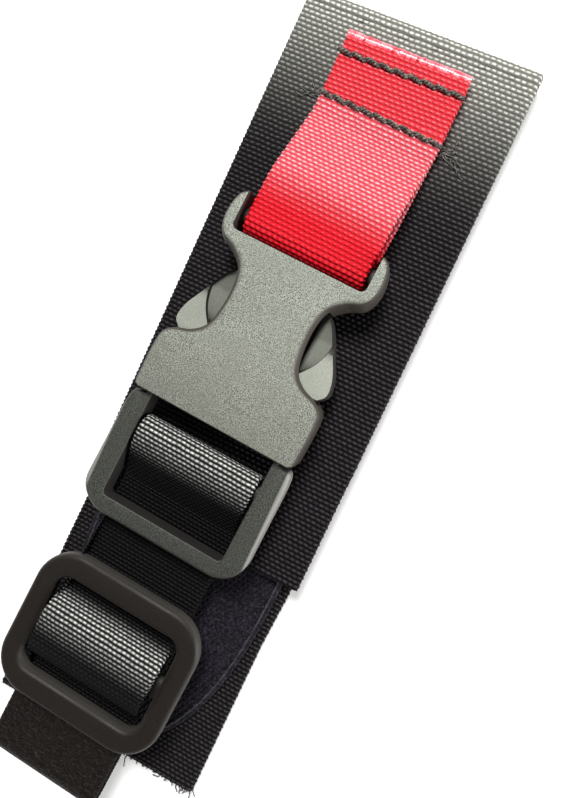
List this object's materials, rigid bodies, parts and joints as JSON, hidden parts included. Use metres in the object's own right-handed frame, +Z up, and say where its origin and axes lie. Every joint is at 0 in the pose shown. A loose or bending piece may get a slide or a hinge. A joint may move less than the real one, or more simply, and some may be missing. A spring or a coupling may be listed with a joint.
{
  "type": "tourniquet",
  "caption": "Folded webbing strap tourniquet with a hook-and-loop closure, a red anchor loop, a side-release buckle and a tri-glide on a doubled tension strap, laid flat",
  "frame": {"origin": "Middle of the bounding box in plan, on the surface that the back leg lies on.", "axes": "+X across the band, +Y along the band towards its fold, +Z up out of the surface, from the back leg to the buckle."},
  "size_m": [0.0486, 0.1686, 0.0176],
  "materials": {
    "band_webbing": "Heavy woven webbing, black, matt with small bright yarn floats.",
    "strap_webbing": "Narrow woven webbing, black, with crosswise ribs.",
    "red_webbing": "Narrow woven webbing, bright red, with a heat-sealed end.",
    "hook_tape": "Hook tape, black, with a regular field of small hooks.",
    "pile_tape": "Brushed pile tape, black and matt.",
    "thread": "Thick bonded sewing thread, black.",
    "buckle_plastic": "Moulded plastic, dark grey with a fine grain.",
    "tri_glide_plastic": "Moulded plastic, warm black with a fine grain."
  },
  "bodies": {
    "back_leg": {"band_back": "band_webbing", "band_fold": "band_webbing", "hook_patch": "hook_tape", "hook_patch_seam": "thread"},
    "front_leg": {"band_front": "band_webbing", "pile_patch": "pile_tape", "pile_patch_seam": "thread", "anchor_webbing": "red_webbing", "anchor_seam_upper": "thread", "anchor_seam_lower": "thread"},
    "socket": {"buckle_socket": "buckle_plastic"},
    "plug": {"plug_frame": "buckle_plastic", "tension_strap": "strap_webbing"},
    "left_prong": {"prong_left": "buckle_plastic"},
    "right_prong": {"prong_right": "buckle_plastic"},
    "adjuster": {"tri_glide": "tri_glide_plastic", "strap_loop_seam": "thread"},
    "tail": {"tail_pile_tape": "pile_tape", "tail_seam_left": "thread", "tail_seam_right": "thread"}
  },
  "joints": [
    {"name": "front_fold", "type": "hinge", "parent": "back_leg", "child": "front_leg", "pos_m": [0, 0.08061, 0.00365], "axis": [-1, 0, 0], "range_deg": [0, 135], "deforming": ["band_fold"]},
    {"name": "socket_swing", "type": "hinge", "parent": "front_leg", "child": "socket", "pos_m": [-0.00125, 0.03529, 0.0131], "axis": [-0.999, 0.0454, 0], "range_deg": [0, 90]},
    {"name": "plug_release", "type": "slide", "parent": "socket", "child": "plug", "axis": [-0.0454, -0.999, 0], "range_m": [0, 0.03], "deforming": ["prong_left", "prong_right"]},
    {"name": "left_prong_squeeze", "type": "hinge", "parent": "plug", "child": "left_prong", "pos_m": [-0.01291, 0.00329, 0.0131], "axis": [0, 0, -1], "range_deg": [0, 10], "stiffness_Nm_per_rad": 0.8},
    {"name": "right_prong_squeeze", "type": "hinge", "parent": "plug", "child": "right_prong", "pos_m": [0.00747, 0.00236, 0.0131], "axis": [0, 0, 1], "range_deg": [0, 10], "stiffness_Nm_per_rad": 0.8},
    {"name": "strap_adjust", "type": "slide", "parent": "plug", "child": "adjuster", "axis": [0.0454, 0.999, 0], "range_m": [-0.007, 0.009], "deforming": ["tension_strap"]},
    {"name": "tail_feed", "type": "slide", "parent": "adjuster", "child": "tail", "axis": [0.0454, 0.999, 0], "range_m": [-0.018, 0.014]}
  ],
  "couplings": [
    {"joint": "tail_feed", "follows": "strap_adjust", "ratio": -2}
  ]
}
